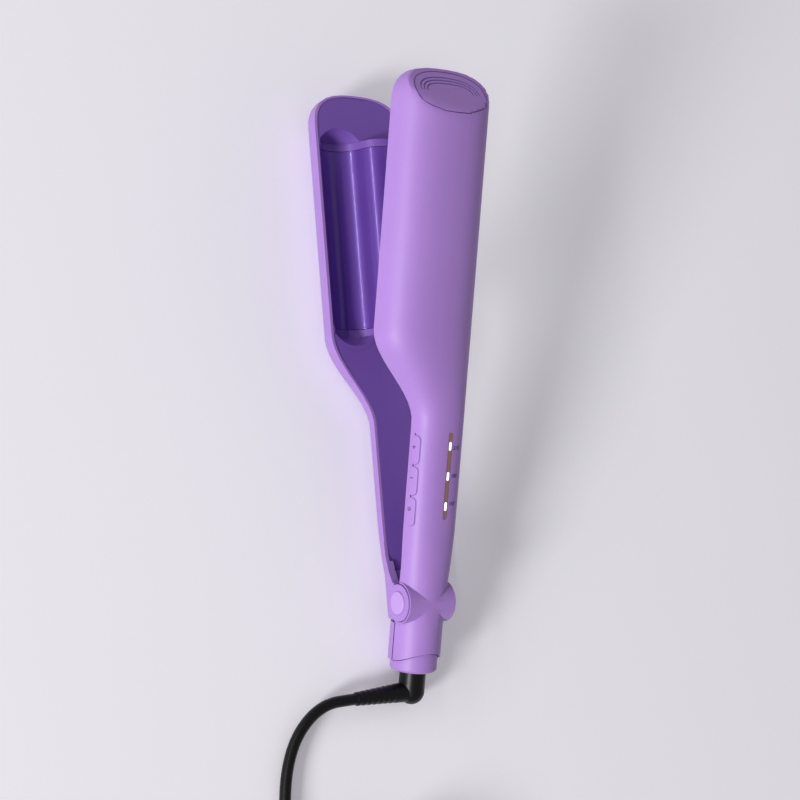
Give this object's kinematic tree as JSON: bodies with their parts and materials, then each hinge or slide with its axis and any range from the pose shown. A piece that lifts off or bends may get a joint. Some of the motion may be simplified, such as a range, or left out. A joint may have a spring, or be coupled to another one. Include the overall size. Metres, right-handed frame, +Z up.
{
  "type": "hair waver",
  "caption": "Two-armed deep waver for hair: hinged lilac arms with wave-shaped heating plates, side buttons, a light bar and a swivel cord, lying open on its back arm.",
  "frame": {"origin": "on the table, under the middle of the object's box without its cord", "axes": "+X from the cord end to the tip, +Y to the side that carries the buttons, +Z up from the table, with the lower arm lying flat and the upper arm standing open above it"},
  "size_m": [0.529, 0.1263, 0.1144],
  "materials": {
    "lilac_shell": "soft matte lilac moulding",
    "violet_cover": "matte violet moulding, darker than the shells",
    "coated_plate": "glossy violet coating on an aluminium extrusion",
    "ceramic": "white ceramic heating element",
    "spring_steel": "plain steel",
    "silicone": "grey silicone",
    "gold_bar": "satin rose gold strip",
    "light_pipe": "milky light pipe",
    "board": "green circuit board",
    "black_nylon": "black nylon",
    "lead_red": "red silicone lead",
    "black_cord": "satin black cord sheath",
    "plug_pin_metal": "nickel-plated pins"
  },
  "bodies": {
    "main_body": {"upper_shell": "lilac_shell", "upper_inner_cover": "violet_cover", "upper_tip_frame": "violet_cover", "upper_tip_cap": "lilac_shell", "upper_plate": "coated_plate", "upper_heater": "ceramic", "upper_heater_clip": "spring_steel", "upper_plate_pads": "silicone", "tail_cover": "lilac_shell", "tail_collar": "lilac_shell", "light_bar": "gold_bar", "light_windows": "light_pipe", "circuit_board": "board", "indicator_leds": "light_pipe", "tact_switches": "spring_steel", "board_screws": "spring_steel", "upper_leads": "lead_red", "hinge_spring": "spring_steel", "swivel_socket": "black_nylon"},
    "lower_arm": {"lower_shell": "lilac_shell", "lower_inner_cover": "violet_cover", "lower_tip_frame": "violet_cover", "lower_tip_cap": "lilac_shell", "lower_plate": "coated_plate", "lower_heater": "ceramic", "lower_heater_clip": "spring_steel", "lower_plate_pads": "silicone", "lower_leads": "lead_red", "hinge_pin": "spring_steel", "hinge_caps": "lilac_shell"},
    "cord_set": {"cord_elbow": "black_cord", "power_cord": "black_cord", "cord_coil": "black_cord", "cord_tie": "silicone", "plug_body": "black_cord", "plug_pins": "plug_pin_metal"},
    "plus_key": {"plus_button": "lilac_shell"},
    "minus_key": {"minus_button": "lilac_shell"},
    "power_key": {"power_button": "lilac_shell"}
  },
  "joints": [
    {"name": "arm_hinge", "type": "hinge", "parent": "main_body", "child": "lower_arm", "pos_m": [-0.12266, -0.0124, 0.02573], "axis": [0, -1, 0], "range_deg": [0, 16.4], "stiffness_Nm_per_rad": 1.5, "springref_deg": -17.19},
    {"name": "cord_swivel", "type": "hinge", "parent": "main_body", "child": "cord_set", "pos_m": [-0.15821, -0.0124, 0.01193], "axis": [0.9593, 0, 0.2823], "continuous": true},
    {"name": "plus_press", "type": "slide", "parent": "main_body", "child": "plus_key", "axis": [0, -1, 0], "range_m": [0, 0.0007], "stiffness_N_per_m": 1500, "springref_m": -0.0004},
    {"name": "minus_press", "type": "slide", "parent": "main_body", "child": "minus_key", "axis": [0, -1, 0], "range_m": [0, 0.0007], "stiffness_N_per_m": 1500, "springref_m": -0.0004},
    {"name": "power_press", "type": "slide", "parent": "main_body", "child": "power_key", "axis": [0, -1, 0], "range_m": [0, 0.0007], "stiffness_N_per_m": 1500, "springref_m": -0.0004}
  ]
}
